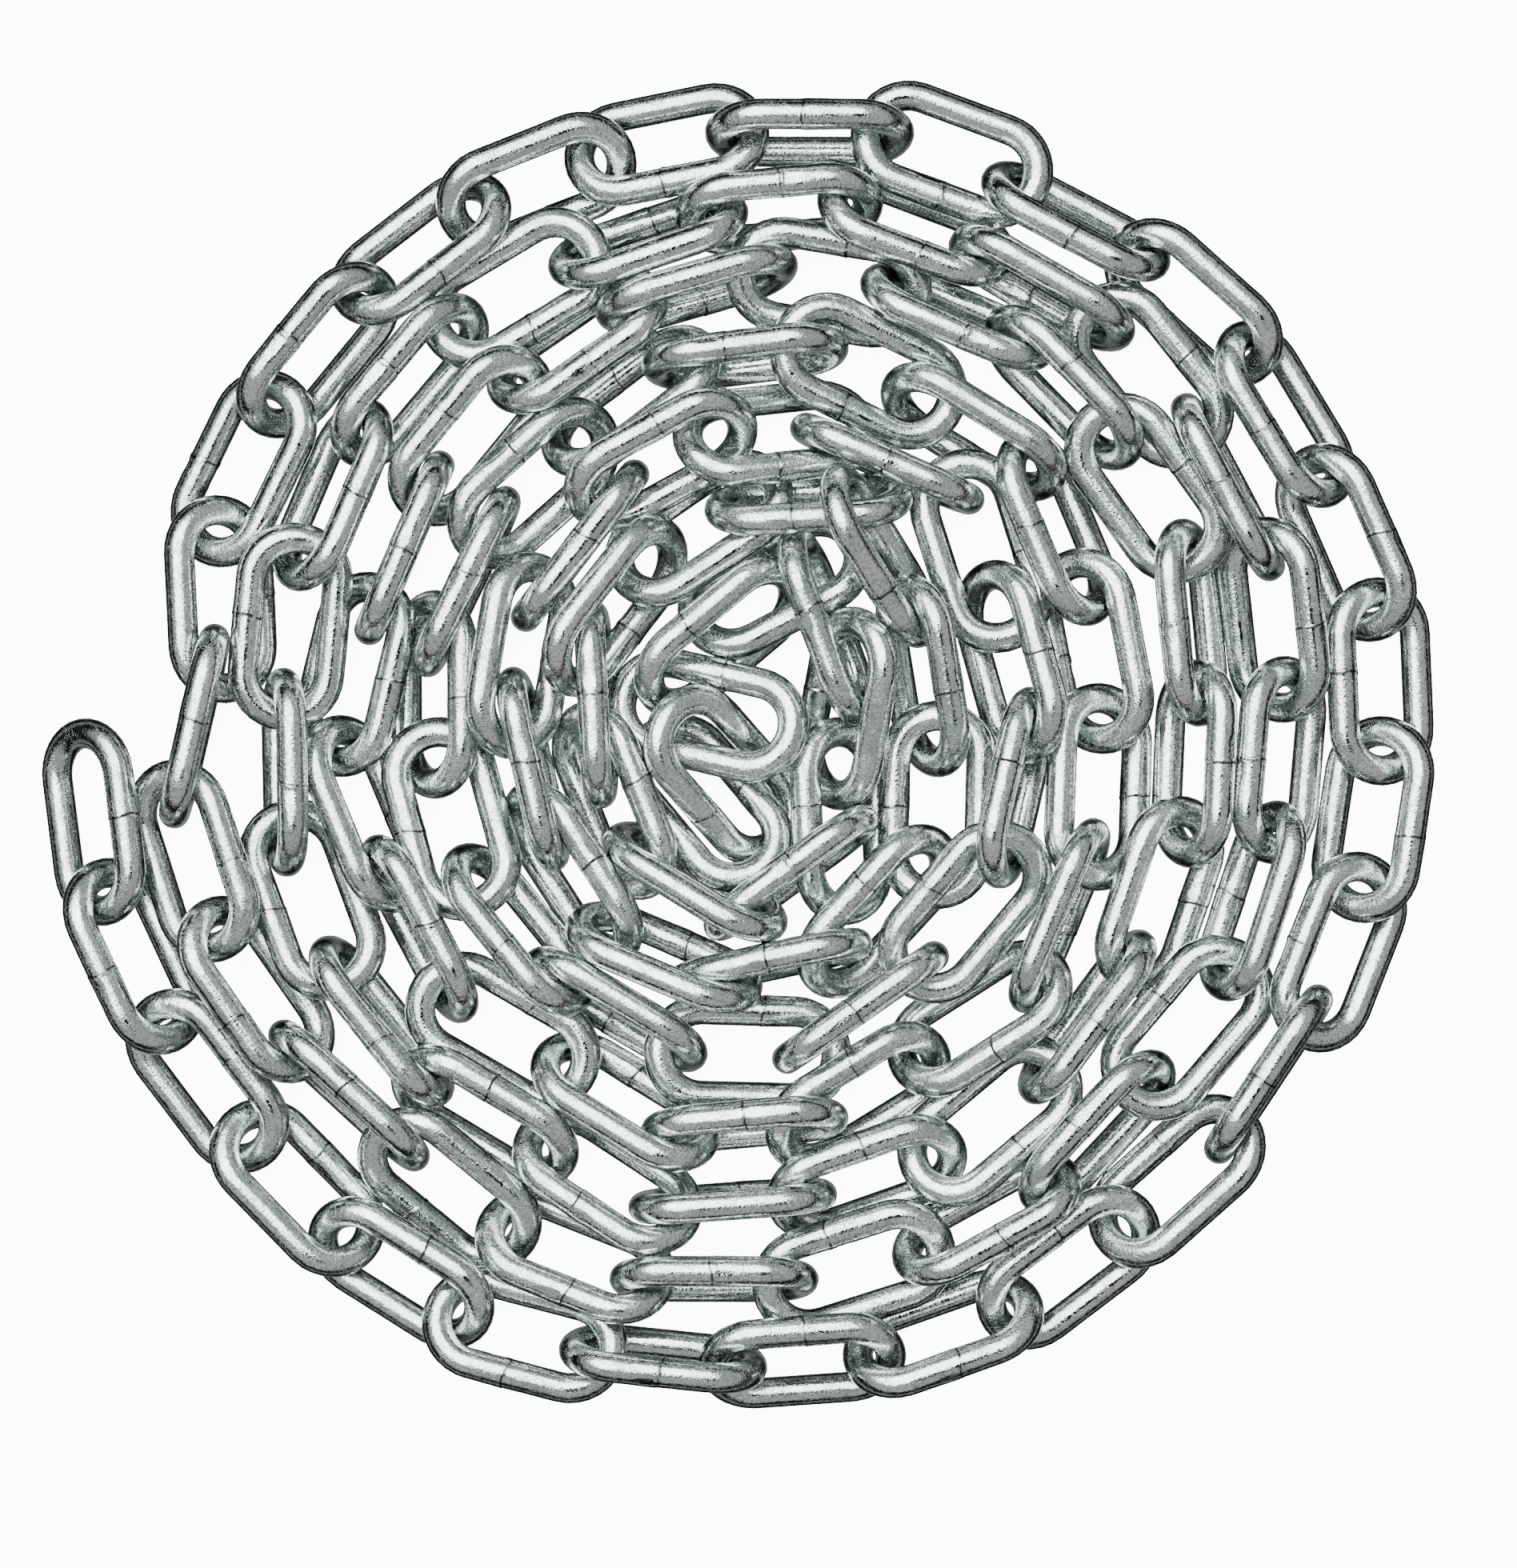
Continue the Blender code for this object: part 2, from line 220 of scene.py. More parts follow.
def attitudes(heading, roll, pitch):  # a 3x3 frame for each link: along, across, square to both
    h, r, p = (np.radians(np.asarray(value, float)) for value in (heading, roll, pitch))
    along = np.stack([np.cos(h) * np.cos(p), np.sin(h) * np.cos(p), np.sin(p)], 1)
    outward = np.stack([np.sin(h), -np.cos(h), np.zeros_like(h)], 1)
    upward = np.cross(outward, along)
    across = outward * np.cos(r)[:, None] + upward * np.sin(r)[:, None]
    return np.stack([along, across, np.cross(along, across)], 2)


def layLinks():  # centres and frames of all links along the route, before they are eased apart
    bearings, points = coilRoute()
    steps = np.linalg.norm(np.diff(points, axis=0), axis=1)
    arc = np.concatenate([[0.0], np.cumsum(steps)])
    rolls, firstLinks, firstArcs = [], [], []
    for start, row in coil["halfTurns"]:
        firstLinks.append(len(rolls))
        firstArcs.append(np.interp(start, bearings, arc))
        rolls += row
    firstLinks.append(len(rolls))
    firstArcs.append(np.interp(coil["lastBearing"], bearings, arc))
    at = np.interp(np.arange(len(rolls)), firstLinks, firstArcs)

    def point(distance):
        return np.stack([np.interp(distance, arc, points[:, axis]) for axis in (0, 1)], 1)

    ahead = point(at + chain["wire"]) - point(at - chain["wire"])
    heading = np.degrees(np.arctan2(ahead[:, 1], ahead[:, 0]))
    centres = np.column_stack([point(at), np.full(len(rolls), coil["height"])])
    frames = attitudes(heading, rolls, np.zeros(len(rolls)))
    table = np.array(tangle, float)
    centres = np.vstack([centres, table[:, :3] * mm])
    frames = np.vstack([frames, attitudes(table[:, 3], table[:, 4], table[:, 5])])
    return centres, frames


def placed(centres, frames, local):  # points of a link's own frame, placed for every link
    return centres[:, None, :] + np.einsum("nij,pj->npi", frames, local)


def nearestPoints(startA, runA, startB, runB):  # of two straight stretches, for whole arrays
    between = startA - startB
    aa = np.sum(runA * runA, -1)
    bb = np.sum(runB * runB, -1)
    ab = np.sum(runA * runB, -1)
    alongA = np.sum(runA * between, -1)
    alongB = np.sum(runB * between, -1)
    square = np.maximum(aa * bb - ab * ab, 1e-18)
    s = np.clip((ab * alongB - alongA * bb) / square, 0, 1)
    freeT = (ab * s + alongB) / bb
    t = np.clip(freeT, 0, 1)
    s = np.where(t != freeT, np.clip((ab * t - alongA) / aa, 0, 1), s)
    return startA + s[..., None] * runA, startB + t[..., None] * runB


def contacts(centres, frames, first, second, path):  # nearest points, for each half of a link
    corners = placed(centres, frames, path)
    runs = np.roll(corners, -1, axis=1) - corners
    onA, onB = nearestPoints(
        corners[first][:, :, None, :], runs[first][:, :, None, :],
        corners[second][:, None, :, :], runs[second][:, None, :, :],
    )
    distance = np.linalg.norm(onA - onB, axis=-1)
    half = len(path) // 2
    pair = np.arange(len(first))
    found = []
    for part in (slice(0, half), slice(half, 2 * half)):
        flat = distance[:, part].reshape(len(first), -1)
        best = np.argmin(flat, 1)
        a = onA[:, part].reshape(len(first), -1, 3)[pair, best]
        b = onB[:, part].reshape(len(first), -1, 3)[pair, best]
        found.append((a, b, flat[pair, best]))
    return found


def closeLinks(centres, frames, path):  # pairs that may meet, neighbours always among them
    first, second = np.triu_indices(len(centres), 1)
    apart = np.sum((centres[first] - centres[second]) ** 2, 1)
    near = apart < easing["reach"] ** 2
    first, second = first[near], second[near]
    gaps = [distance for _, _, distance in contacts(centres, frames, first, second, path)]
    keep = (np.minimum(*gaps) < easing["watched"]) | (second == first + 1)
    return first[keep], second[keep]


def joinedToNext(number):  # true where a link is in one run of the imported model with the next
    perRun = chain["linksPerRun"]
    return (number > 0) & ((number - 1) % perRun != perRun - 1)


def turned(frames, spin):  # frames turned by small rotation vectors and squared up again
    frames = frames + np.cross(spin[:, None, :], frames.transpose(0, 2, 1)).transpose(0, 2, 1)
    along = unit(frames[:, :, 0])
    across = frames[:, :, 1]
    across = unit(across - along * np.sum(across * along, 1, keepdims=True))
    return np.stack([along, across, np.cross(along, across)], 2)


def levelled(centres, frames):  # rests the level links on a facet of their lower leg
    links = np.array(levelLinks["numbers"]) - 1
    heading = np.degrees(np.arctan2(frames[links, 1, 0], frames[links, 0, 0]))
    roll = np.sign(frames[links, 2, 1]) * levelLinks["roll"]
    frames[links] = attitudes(heading, roll, np.zeros(len(links)))
    centres[links, 2] = legOffset * sin(radians(levelLinks["roll"])) + facets["flatRadius"]


# moves and turns the links until their centre lines are "clear" apart, or "joined" in one run
def easeApart(centres, frames, phases, path, radius, clear, joined, level):
    laidCentres, laidFrames = centres.copy(), frames.copy()
    count = len(centres)
    upward = np.array([0.0, 0.0, 1.0])
    gyration = easing["gyration"]
    inTangle = np.arange(count) >= count - len(tangle)
    for rounds, sink, pull, *holds in phases:
        hold = np.where(inTangle, holds[1], holds[0])[:, None]
        drift = np.zeros((count, 3))
        swing = np.zeros((count, 3))
        for number in range(rounds):
            if number % easing["pairsKept"] == 0:
                first, second = closeLinks(centres, frames, path)
                neighbours = second == first + 1
                wanted = np.where(neighbours & joinedToNext(first), joined, clear)
            ease = max(1 - number / rounds, easing["leastEase"])
            move = np.zeros((count, 3))
            spin = np.zeros((count, 3))
            pushes = np.zeros(count)
            found = contacts(centres, frames, first, second, path)
            nearest = np.minimum(found[0][2], found[1][2])
            for onA, onB, distance in found:
                wrong = distance - wanted
                acts = (wrong < 0) | (neighbours & (distance <= nearest))
                a, b = first[acts], second[acts]
                away = (onA - onB)[acts] / np.maximum(distance[acts], 1e-9)[:, None]
                twistA = np.cross(onA[acts] - centres[a], away)
                twistB = np.cross(onB[acts] - centres[b], away)
                # both links give way, and more where the push also turns them
                give = 2 + (np.sum(twistA**2, 1) + np.sum(twistB**2, 1)) / gyration**2
                longest = easing["longestStep"]
                push = np.clip(-wrong[acts] / give, -longest, longest)[:, None]
                for pushed, side, twist in ((a, push, twistA), (b, -push, twistB)):
                    np.add.at(move, pushed, side * away)
                    np.add.at(spin, pushed, side * twist / gyration**2)
                    np.add.at(pushes, pushed, 1)
            corners = placed(centres, frames, path)
            under = radius - corners[:, :, 2]  # the floor pushes up what is below it
            low, corner = np.nonzero(under > 0)
            twist = np.cross(corners[low, corner] - centres[low], upward)
            lift = (under[low, corner] / (1 + np.sum(twist**2, 1) / gyration**2))[:, None]
            np.add.at(move, low, lift * upward)
            np.add.at(spin, low, lift * twist / gyration**2)
            np.add.at(pushes, low, 1)

            share = (easing["crowding"] / np.maximum(pushes, easing["crowding"]))[:, None]
            drift = move * share + easing["glide"] * drift
            swing = spin * share + easing["glide"] * swing
            centres = centres + drift
            centres[:, :2] += pull * ease * (laidCentres - centres)[:, :2]
            centres[:, 2] -= sink * ease
            back = np.cross(frames.transpose(0, 2, 1), laidFrames.transpose(0, 2, 1)).sum(1) / 2
            frames = turned(frames, swing + hold * ease * back)
            if level:
                levelled(centres, frames)
    return centres, frames


def facetedSkin(path):  # the corners of a packed link, which give the coil's middle
    ahead = unit(np.roll(path, -1, axis=0) - path)
    behind = unit(path - np.roll(path, 1, axis=0))
    points = []
    for corner, before, after in zip(path, behind, ahead):
        mitre = unit(before + after)
        outward = np.array([mitre[1], -mitre[0], 0.0])
        stretch = 1 / np.dot(mitre, after)
        for side in range(facets["sides"]):
            angle = 2 * pi * (side + 0.5) / facets["sides"]
            offset = outward * cos(angle) * stretch + np.array([0.0, 0.0, sin(angle)])
            points.append(corner + facets["cornerRadius"] * offset)
    return np.array(points)


def settledLinks():  # the round links' centres and frames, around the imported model's origin
    path = linkPath(facets["crownSteps"], facets["crownSwell"])
    centres, frames = easeApart(
        *layLinks(), easing["phases"], path, facets["cornerRadius"], facets["clear"], facets["joined"], True
    )
    skins = placed(centres, frames, facetedSkin(path))
    middle = (skins.min((0, 1)) + skins.max((0, 1))) / 2
    centres[:, :2] -= middle[:2]
    path = linkPath(bearing["crownSteps"], bearing["crownSwell"])
    touching = chain["wire"] + bearing["gap"]
    centres, frames = easeApart(
        centres, frames, bearing["phases"], path, chain["wire"] / 2, touching, touching, False
    )
    lowest = placed(centres, frames, path)[:, :, 2].min(1) - chain["wire"] / 2
    centres[:, 2] -= np.minimum(lowest, 0)
    return centres, frames, middle


# a link's round wire: its rings and sides, the weld in one leg and the slight wander of the wire
link = {
    "sides": 28,
    "crownRings": 16,
    "legRings": 9,
    # rings at these distances in mm to each side of the weld
    "weldRings": (0.1, 0.25, 0.4, 0.6, 0.8, 1.1, 1.4, 1.8, 2.3, 3.0, 3.8, 4.6, 5.5, 6.5, 7.5),
    "weldWander": 3.0 * mm,
    "weldReach": 8.5 * mm,
    "lowerWelds": 0.25,  # the share of links with their weld in the lower leg
    "seamBend": 0.5 * mm,
    "seamRipple": 0.4,
    "markWidth": 1.2 * mm,
    # the ridge that the weld leaves, uneven around the wire
    "ridge": 0.16 * mm,
    "ridgeWidth": 0.35 * mm,
    "ridgeMean": 0.55,
    "ridgeVaries": 0.25,
    "ridgeLeast": 0.1,
    "ridgeWaves": (1, 2, 3, 5),
    "groove": 0.16 * mm,
    "grooveWidth": 0.14 * mm,
    "grooveFromSeam": 0.3 * mm,
    "step": 0.10 * mm,
    "stepRise": 0.3 * mm,
    "stepFade": 7 * mm,
    # the two patches that the welding jaws flatten, at opposite sides of the wire
    "flatFacing": 0.6,
    "flatHeight": 0.94,
    "flatVaries": (-0.02, 0.03),
    "flatStart": (0.5 * mm, 1.2 * mm),
    "flatRise": 0.5 * mm,
    "flatEnd": (3.9 * mm, 6.5 * mm),
    "flatFade": 0.8 * mm,
    "wobble": 0.035 * mm,
    "wobblesAlong": (1, 2, 3, 5, 8),
    "wobblesAround": (0, 1, 2),
}

# welds that the picture shows, by link: place seen from above in mm, from the coil's route origin
seenWelds = {
    1: (-132.1, -13.7),
    110: (34.1, -11.9),
    112: (31.5, 37.6),
    113: (11.9, 51.5),
    114: (-17.7, 51.8),
    120: (13.7, -11.6),
    122: (13.1, 30.5),
    124: (-12.3, 28.9),
    125: (-3.2, 16.1),
    126: (-8.8, -14.0),
    127: (0.0, -8.8),
}


def centreLine(s):  # points and directions along a link, from the middle of its lower leg
    leg = 2 * crownCentre
    crown = pi * legOffset
    s = s % (2 * leg + 2 * crown)
    turn = np.zeros_like(s)
    point = np.zeros((len(s), 2))
    ends = (leg / 2, leg / 2 + crown, 1.5 * leg + crown, 1.5 * leg + 2 * crown)
    piece = np.searchsorted(ends, s, side="right")
    for k, value in enumerate(s):
        if piece[k] in (0, 4):
            x = value if piece[k] == 0 else value - 2 * leg - 2 * crown
            point[k] = (x, -legOffset)
        elif piece[k] == 1:
            turn[k] = (value - ends[0]) / legOffset
            point[k] = (crownCentre + legOffset * sin(turn[k]), -legOffset * cos(turn[k]))
        elif piece[k] == 2:
            turn[k] = pi
            point[k] = (crownCentre - (value - ends[1]), legOffset)
        else:
            turn[k] = pi + (value - ends[2]) / legOffset
            point[k] = (-crownCentre + legOffset * sin(turn[k]), -legOffset * cos(turn[k]))
    return point, turn


def ringPlaces():  # distances of a link's rings from its weld
    leg = 2 * crownCentre
    crown = pi * legOffset
    weld = np.array(link["weldRings"]) * mm
    weld = np.concatenate([-weld[::-1], weld])
    first = np.linspace(weld[-1], leg / 2, 3)[1:]
    bend = leg / 2 + crown * np.arange(1, link["crownRings"] + 1) / link["crownRings"]
    back = bend[-1] + leg * np.arange(1, link["legRings"] + 1) / link["legRings"]
    second = back[-1] + crown * np.arange(1, link["crownRings"] + 1) / link["crownRings"]
    last = second[-1] + (leg / 2 + weld[0]) * np.array([0.5])  # one ring halfway back to the weld
    return np.concatenate([weld, first, bend, back, second, last])


def weldPlace(number, centre, frame, middle, rng):  # the weld's leg, as 1 or -1, and its place along it
    wander = rng.uniform(-1, 1) * link["weldWander"]
    onLower = rng.uniform() < link["lowerWelds"]
    if number + 1 in seenWelds:
        x, y = seenWelds[number + 1]
        seen = np.array([x * mm - middle[0] - centre[0], y * mm - middle[1] - centre[1]])
        along, across = np.linalg.lstsq(frame[:2, :2], seen, rcond=None)[0]
        side = -1 if across > 0 else 1
        return side, np.clip(side * along, -link["weldReach"], link["weldReach"])
    side = 1 if frame[2, 1] < 0 else -1  # the leg that lies higher
    return -side if onLower else side, wander


def wireRadii(s, length, angles, weld, rng):  # of each ring, all the way round
    radii = np.full(weld.shape, chain["wire"] / 2)
    for k in link["wobblesAlong"]:
        for m in link["wobblesAround"]:
            phase = rng.uniform(0, 2 * pi)
            wave = np.cos(2 * pi * k * s / length + phase)[:, None] * np.cos(m * angles + phase)[None, :]
            radii += link["wobble"] * wave / (k + m + 2)  # the finer the lower

    most = link["ridgeVaries"]
    rough = link["ridgeMean"] + sum(
        rng.uniform(-most, most) * np.cos(m * angles + rng.uniform(0, 2 * pi)) for m in link["ridgeWaves"]
    )
    ridge = np.exp(-((weld / link["ridgeWidth"]) ** 2)) * np.maximum(rough, link["ridgeLeast"])[None, :]
    groove = np.exp(-(((weld - link["grooveFromSeam"]) / link["grooveWidth"]) ** 2))
    side = 1 if rng.uniform() < 0.5 else -1  # the side of the seam with the step and the flats
    beside = side * weld
    stepped = np.clip(beside / link["stepRise"], 0, 1) * np.clip(1 - beside / link["stepFade"], 0, 1)
    radii += link["ridge"] * ridge - link["groove"] * groove * rough[None, :] + link["step"] * stepped

    facing = rng.uniform(-link["flatFacing"], link["flatFacing"])
    for direction in (facing, facing + pi):
        height = link["flatHeight"] + rng.uniform(*link["flatVaries"])
        start, end = rng.uniform(*link["flatStart"]), rng.uniform(*link["flatEnd"])
        risen = np.clip((beside - start) / link["flatRise"], 0, 1)
        within = risen * np.clip((end - beside) / link["flatFade"], 0, 1)
        cut = 1 - height / np.maximum(np.cos(angles - direction), height)
        radii *= 1 - within * cut[None, :]
    return radii


def linkSkin(shift, rng):  # one link's points, its own coordinates for the zinc, and its weld marks
    s = ringPlaces()
    length = 4 * crownCentre + 2 * pi * legOffset
    angles = 2 * pi * np.arange(link["sides"]) / link["sides"]
    flat, turn = centreLine(s + shift)
    start = rng.uniform(0, 2 * pi)
    ripple = link["seamRipple"] * np.cos(3 * angles + 2 * start)
    bend = link["seamBend"] * (np.cos(angles + start) + ripple)
    weld = ((s + length / 2) % length - length / 2)[:, None] + bend[None, :]  # distance from the seam
    radii = wireRadii(s, length, angles, weld, rng)

    outward = np.stack([np.sin(turn), -np.cos(turn)], 1)
    ring = radii[:, :, None] * np.stack([np.cos(angles), np.sin(angles)], 1)[None]
    points = np.zeros((len(s), len(angles), 3))
    points[:, :, :2] = flat[:, None, :] + ring[:, :, :1] * outward[:, None, :]
    points[:, :, 2] = ring[:, :, 1]
    place = points + rng.uniform(0, 1, 3)
    mark = np.exp(-((weld / link["markWidth"]) ** 2))
    return points.reshape(-1, 3), place.reshape(-1, 3), mark.ravel()


def linkFaces():
    rings, sides = len(ringPlaces()), link["sides"]
    ring, side = np.meshgrid(np.arange(rings), np.arange(sides), indexing="ij")
    after, beside = (ring + 1) % rings, (side + 1) % sides
    corners = [ring * sides + side, ring * sides + beside, after * sides + beside, after * sides + side]
    return np.stack([corner.ravel() for corner in corners], 1)


# shader maths: a socket that takes part in expressions
class Signal:
    def __init__(self, tree, socket=None):
        self.tree = tree
        self.socket = socket

    def node(self, kind, settings, sockets, output=0):
        made = self.tree.nodes.new(kind)
        for name, value in settings.items():
            setattr(made, name, value)
        for name, value in sockets.items():
            if isinstance(value, Signal):
                self.tree.links.new(value.socket, made.inputs[name])
            else:
                made.inputs[name].default_value = value
        return Signal(self.tree, made.outputs[output])

    def maths(self, operation, first, second):
        return self.node("ShaderNodeMath", {"operation": operation}, {0: first, 1: second})

    def __add__(self, other):
        return self.maths("ADD", self, other)

    __radd__ = __add__

    def __sub__(self, other):
        return self.maths("SUBTRACT", self, other)

    def __rsub__(self, other):
        return self.maths("SUBTRACT", other, self)

    def __mul__(self, other):
        return self.maths("MULTIPLY", self, other)

    __rmul__ = __mul__

    def ranged(self, low, high, newLow=0.0, newHigh=1.0):  # rises smoothly between low and high
        names = {"Value": self, "From Min": low, "From Max": high, "To Min": newLow, "To Max": newHigh}
        return self.node("ShaderNodeMapRange", {"interpolation_type": "SMOOTHSTEP"}, names)

    def mixed(self, low, high):  # a colour, by this value as the factor: 6, 7 and 2 are colour sockets
        return self.node("ShaderNodeMix", {"data_type": "RGBA"}, {"Factor": self, 6: low, 7: high}, 2)

    def stretched(self, factors):  # a vector with each of its three parts scaled
        return self.node("ShaderNodeVectorMath", {"operation": "MULTIPLY"}, {0: self, 1: factors})

    def noise(self, size, detail=2.0):  # with features of about this size in metres
        sockets = {"Vector": self, "Scale": 1 / size, "Detail": detail, "Roughness": 0.55}
        return self.node("ShaderNodeTexNoise", {}, sockets)


# zinc plate: bright, lightly pebbled, with drawn lines along the bar and dull pits
zinc = {
    "bright": (0.84, 0.865, 0.85, 1),
    "cool": (0.66, 0.72, 0.705, 1),
    "grain": (0.32, 0.34, 0.33, 1),
    "dull": (0.30, 0.325, 0.32, 1),
    "weld": (0.42, 0.43, 0.42, 1),
    "seam": (0.09, 0.09, 0.085, 1),
    # the size of each pattern's features
    "patchSize": 9 * mm,
    "grainSize": 0.65 * mm,
    "pebbleSize": 0.55 * mm,
    "peelSize": 1.6 * mm,
    "pitSize": 0.35 * mm,
    "pittingSize": 4 * mm,
    "drawnSize": 0.5 * mm,
    "drawnStretch": (0.06, 1, 1),
    # the values of a pattern between which it comes to show
    "patchEdges": (0.35, 0.65),
    "grainEdges": (0.42, 0.66),
    "pitEdges": (0.54, 0.64),
    "pittingEdges": (0.42, 0.60),
    "peelEdges": (0.35, 0.65),
    "weldPeelEdges": (0.3, 0.6),
    "seamPeelEdges": (0.36, 0.52),
    "seamEdges": (0.92, 0.98),
    # how much of the colour below each one hides
    "grainShare": 0.6,
    "pitShare": 0.7,
    "weldShare": 0.5,
    "roughness": (0.03, 0.09),
    "pitRoughness": 0.22,
    "pebbleDepth": 0.06 * mm,
    "peelDepth": 0.04 * mm,
    "drawnDepth": 0.012 * mm,
    "pitDepth": 0.03 * mm,
}


def zincMaterial():
    material = bpy.data.materials.new("zinc plated steel")
    material.use_nodes = True
    tree = material.node_tree
    shader = tree.nodes["Principled BSDF"]
    start = Signal(tree)
    place = start.node("ShaderNodeAttribute", {"attribute_name": "linkPlace"}, {}, 1)
    weld = start.node("ShaderNodeAttribute", {"attribute_name": "weldMark"}, {}, 2)

    patches = place.noise(zinc["patchSize"]).ranged(*zinc["patchEdges"])
    grains = place.noise(zinc["grainSize"]).ranged(*zinc["grainEdges"])
    pebbles = place.noise(zinc["pebbleSize"])
    peel = place.noise(zinc["peelSize"], 3.0)
    drawn = place.stretched(zinc["drawnStretch"]).noise(zinc["drawnSize"])
    pitting = place.noise(zinc["pittingSize"]).ranged(*zinc["pittingEdges"])
    pits = place.noise(zinc["pitSize"], 1.0).ranged(*zinc["pitEdges"]) * pitting
    weldDull = weld * peel.ranged(*zinc["weldPeelEdges"]) * zinc["weldShare"]
    seam = weld.ranged(*zinc["seamEdges"]) * peel.ranged(*zinc["seamPeelEdges"])

    colour = patches.mixed(zinc["bright"], zinc["cool"])
    colour = (grains * zinc["grainShare"]).mixed(colour, zinc["grain"])
    colour = (pits * zinc["pitShare"]).mixed(colour, zinc["dull"])
    colour = weldDull.mixed(colour, zinc["weld"])
    colour = seam.mixed(colour, zinc["seam"])
    tree.links.new(colour.socket, shader.inputs["Base Color"])

    low, high = zinc["roughness"]
    roughness = peel.ranged(*zinc["peelEdges"], low, high) + pits * (zinc["pitRoughness"] - high)
    tree.links.new(roughness.socket, shader.inputs["Roughness"])
    shader.inputs["Metallic"].default_value = 1.0

    height = pebbles * zinc["pebbleDepth"] + peel * zinc["peelDepth"] + drawn * zinc["drawnDepth"]
    height = height - pits * zinc["pitDepth"]
    bump = start.node("ShaderNodeBump", {}, {"Distance": 1.0, "Height": height})
    tree.links.new(bump.socket, shader.inputs["Normal"])
    return material


def chainPiece(name, skins, faces, material):  # one run of links as one mesh
    points = np.concatenate([skin[0] for skin in skins])
    count = len(skins[0][0])
    allFaces = np.concatenate([faces + k * count for k in range(len(skins))])
    mesh = bpy.data.meshes.new(name)
    mesh.from_pydata(points.tolist(), [], allFaces.tolist())
    for label, kind, field, column in (
        ("linkPlace", "FLOAT_VECTOR", "vector", 1),
        ("weldMark", "FLOAT", "value", 2),
    ):
        values = np.concatenate([skin[column].ravel() for skin in skins]).astype(np.float32)
        mesh.attributes.new(label, kind, "POINT").data.foreach_set(field, values)
    mesh.shade_smooth()
    mesh.materials.append(material)
    piece = bpy.data.objects.new(name, mesh)
    scene.collection.objects.link(piece)
    return piece


def insideBox(points):  # how far a link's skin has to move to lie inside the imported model's box
    low, high = np.array(cadBox)
    return np.maximum(low - points.min(0), 0) - np.maximum(points.max(0) - high, 0)


def buildChain(centres, frames, middle):
    material = zincMaterial()
    faces = linkFaces()
    perRun = chain["linksPerRun"]
    starts = [0] + list(range(1, len(centres), perRun))
    for start, stop in zip(starts, starts[1:] + [len(centres)]):
        node = f"links_{start + 1:03d}_to_{stop:03d}" if start else "end_link_001"
        skins = []
        for number in range(start, stop):
            rng = np.random.default_rng(number)
            side, shift = weldPlace(number, centres[number], frames[number], middle, rng)
            points, place, mark = linkSkin(shift, rng)
            points[:, :2] *= side
            points = centres[number] + points @ frames[number].T
            skins.append((points + insideBox(points), place, mark))
        piece = chainPiece("zinc_" + node, skins, faces, material)
        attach(piece, "root")
        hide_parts(node)


# camera: straight above the coil, as the picture was taken
camera = {
    "seenHeight": 339.5 * mm,
    "aim": (4.0 * mm, -6.65 * mm),
    "distance": 1.6,
    "sensor": 24.0,
}


def addCamera(middle):
    data = bpy.data.cameras.new("camera")
    data.sensor_fit = "VERTICAL"
    data.sensor_height = camera["sensor"]
    data.lens = camera["sensor"] * camera["distance"] / camera["seenHeight"]
    data.dof.use_dof = False
    taker = bpy.data.objects.new("camera", data)
    x, y = camera["aim"]
    taker.location = (x - middle[0], y - middle[1], coil["height"] + camera["distance"])
    scene.collection.objects.link(taker)
    scene.camera = taker


# plain pale floor, and the soft studio that the bright metal reflects: a large softbox at the
# upper left, grey walls, dark bands low down, and a dark opening beside the camera
studio = {
    "floorSide": 12.0,
    "floorColour": (0.85, 0.85, 0.85, 1),
    "floorRoughness": 0.8,
    "floorGlow": 11.0,  # as white as the picture's ground
    # the angles of an edge are from the middle of what it bounds
    "softbox": {"azimuth": 128, "fromZenith": 23, "core": 19.8, "edge": (30, 36)},
    "softboxColour": (7.2, 7.2, 7.2, 1),
    "softboxRim": (3.2, 4.6, 4.8, 1),
    "coolWall": (0.46, 0.52, 0.515, 1),
    "warmWall": (0.50, 0.475, 0.45, 1),
    "wallsMeet": (20, 100),
    # rings of the sky from straight down to straight up: colour, then the angles from the zenith
    # over which it gives way to the ring before it
    "below": (0.26, 0.285, 0.28, 1),
    "rings": (
        ((0.008, 0.010, 0.0095, 1), 140, 158),
        ((0.26, 0.285, 0.28, 1), 110, 114),
        ((0.008, 0.010, 0.0095, 1), 96, 102),
    ),
    "wallFoot": (66, 80),
    "opening": {"azimuth": -52, "fromZenith": 14, "edge": (11, 13)},
    "openingColour": (0.004, 0.004, 0.004, 1),
}


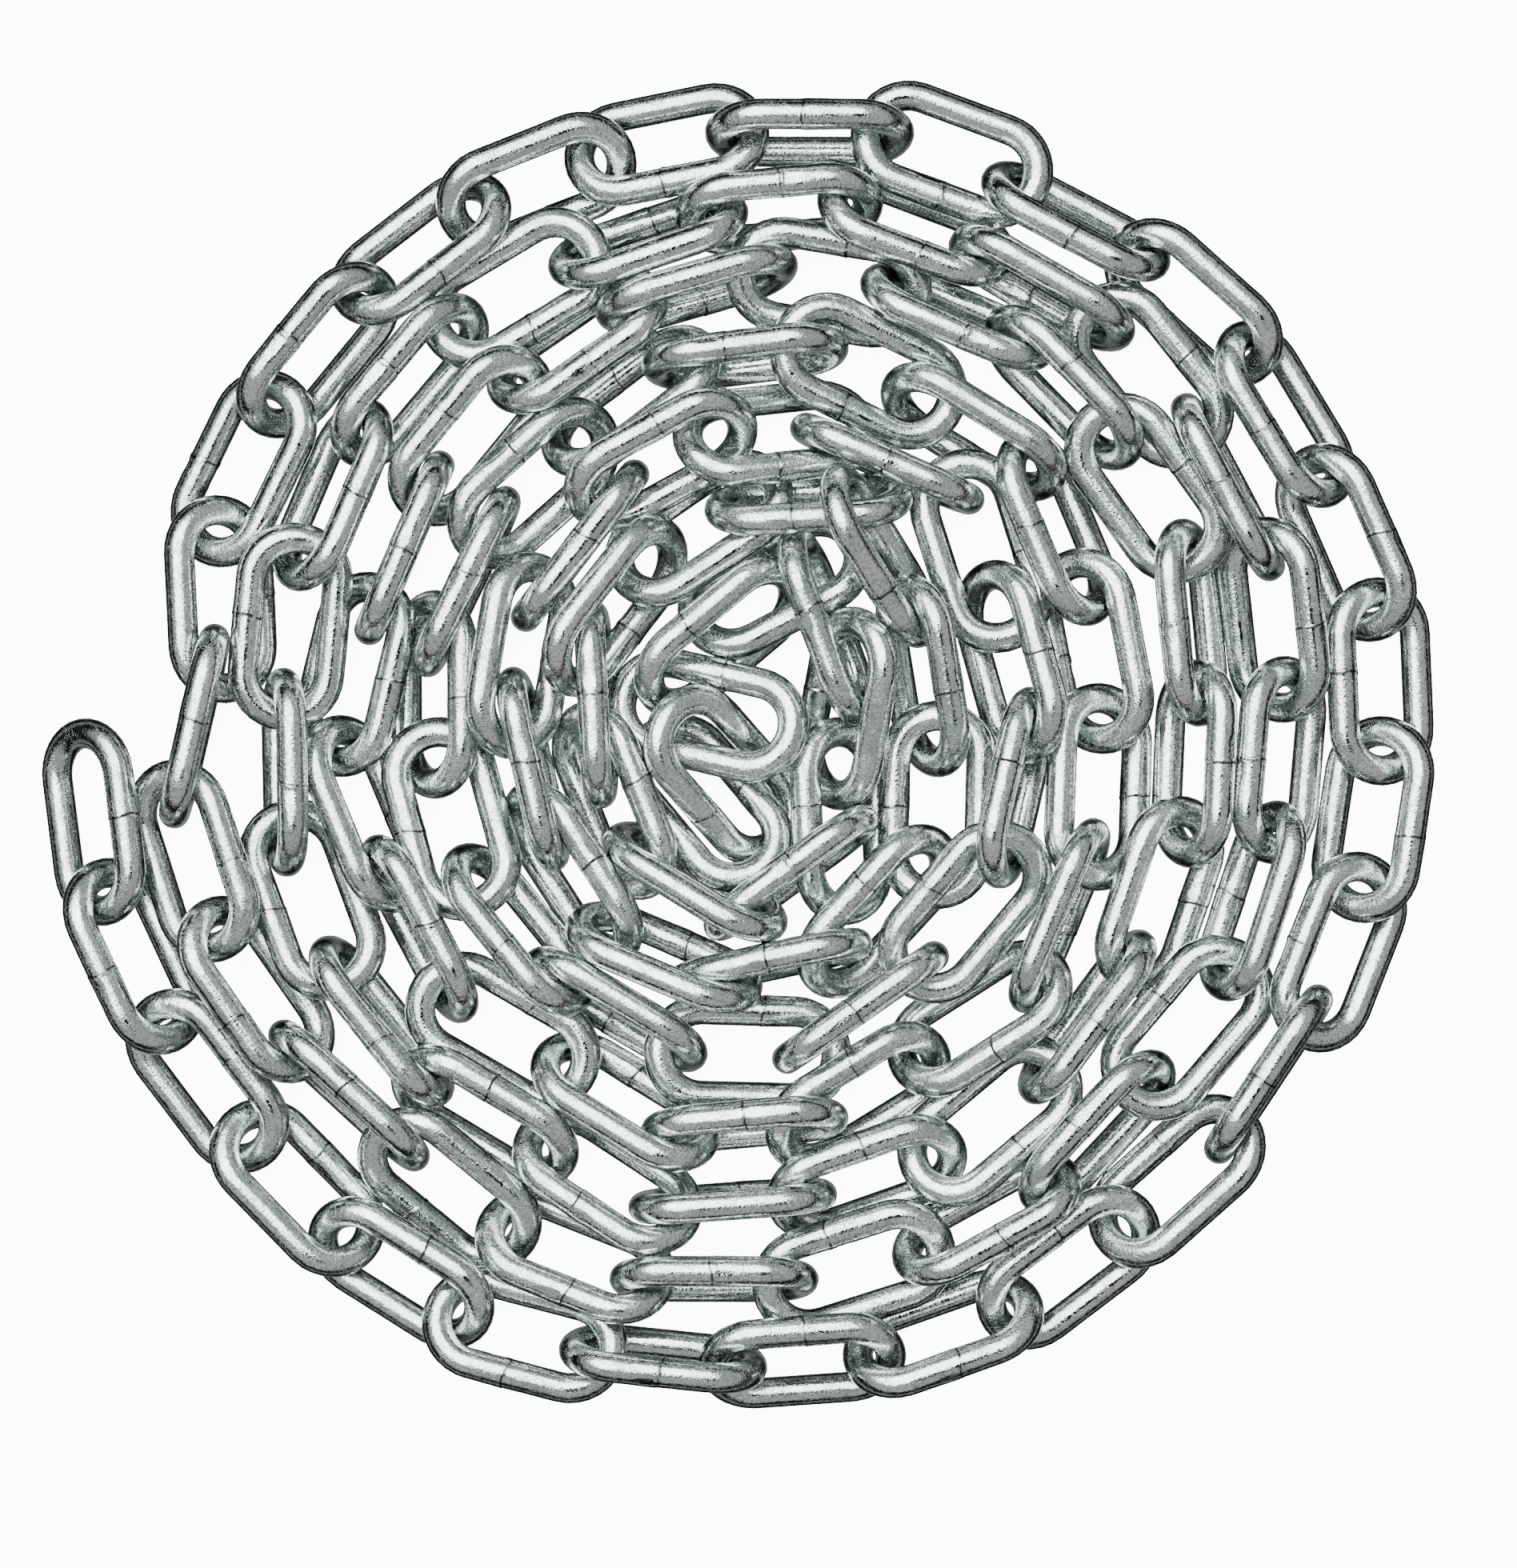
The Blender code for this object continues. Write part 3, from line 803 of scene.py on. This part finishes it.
def studioFloor():
    half = studio["floorSide"] / 2
    mesh = bpy.data.meshes.new("floor")
    corners = [(-half, -half, 0), (half, -half, 0), (half, half, 0), (-half, half, 0)]
    mesh.from_pydata(corners, [], [(0, 1, 2, 3)])
    floor = bpy.data.objects.new("floor", mesh)
    scene.collection.objects.link(floor)
    paint = bpy.data.materials.new("pale floor")
    paint.use_nodes = True
    shader = paint.node_tree.nodes["Principled BSDF"]
    shader.inputs["Base Color"].default_value = studio["floorColour"]
    shader.inputs["Roughness"].default_value = studio["floorRoughness"]
    shader.inputs["Emission Color"].default_value = (1, 1, 1, 1)
    shader.inputs["Emission Strength"].default_value = studio["floorGlow"]
    mesh.materials.append(paint)
    floor.visible_glossy = False  # the metal reflects the sky's lower half instead


def studioSky():
    world = bpy.data.worlds.new("studio")
    world.use_nodes = True
    tree = world.node_tree
    direction = Signal(tree).node("ShaderNodeTexCoord", {}, {}, 0)
    softbox, opening = studio["softbox"], studio["opening"]

    def towards(lamp):
        azimuth, tilt = radians(lamp["azimuth"]), radians(lamp["fromZenith"])
        return (sin(tilt) * cos(azimuth), sin(tilt) * sin(azimuth), cos(tilt))

    def within(axis, inner, outer):  # 1 inside the inner angle around the axis, 0 outside the outer
        aligned = direction.node(
            "ShaderNodeVectorMath", {"operation": "DOT_PRODUCT"}, {0: direction, 1: axis}, 1
        )
        return aligned.ranged(cos(radians(outer)), cos(radians(inner)))

    up, boxAxis = (0.0, 0.0, 1.0), towards(softbox)
    sky = studio["below"]
    for colour, inner, outer in studio["rings"]:
        sky = within(up, inner, outer).mixed(sky, colour)
    walls = within(boxAxis, *studio["wallsMeet"]).mixed(studio["warmWall"], studio["coolWall"])
    sky = within(up, *studio["wallFoot"]).mixed(sky, walls)
    core = within(boxAxis, softbox["core"], softbox["edge"][1])
    lamp = core.mixed(studio["softboxRim"], studio["softboxColour"])
    sky = within(boxAxis, *softbox["edge"]).mixed(sky, lamp)
    sky = within(towards(opening), *opening["edge"]).mixed(sky, studio["openingColour"])
    tree.links.new(sky.socket, tree.nodes["Background"].inputs["Color"])
    scene.world = world


print("laying and easing the links")
centres, frames, middle = settledLinks()
print("camera and studio")
addCamera(middle)
studioFloor()
studioSky()
print("links")
buildChain(centres, frames, middle)
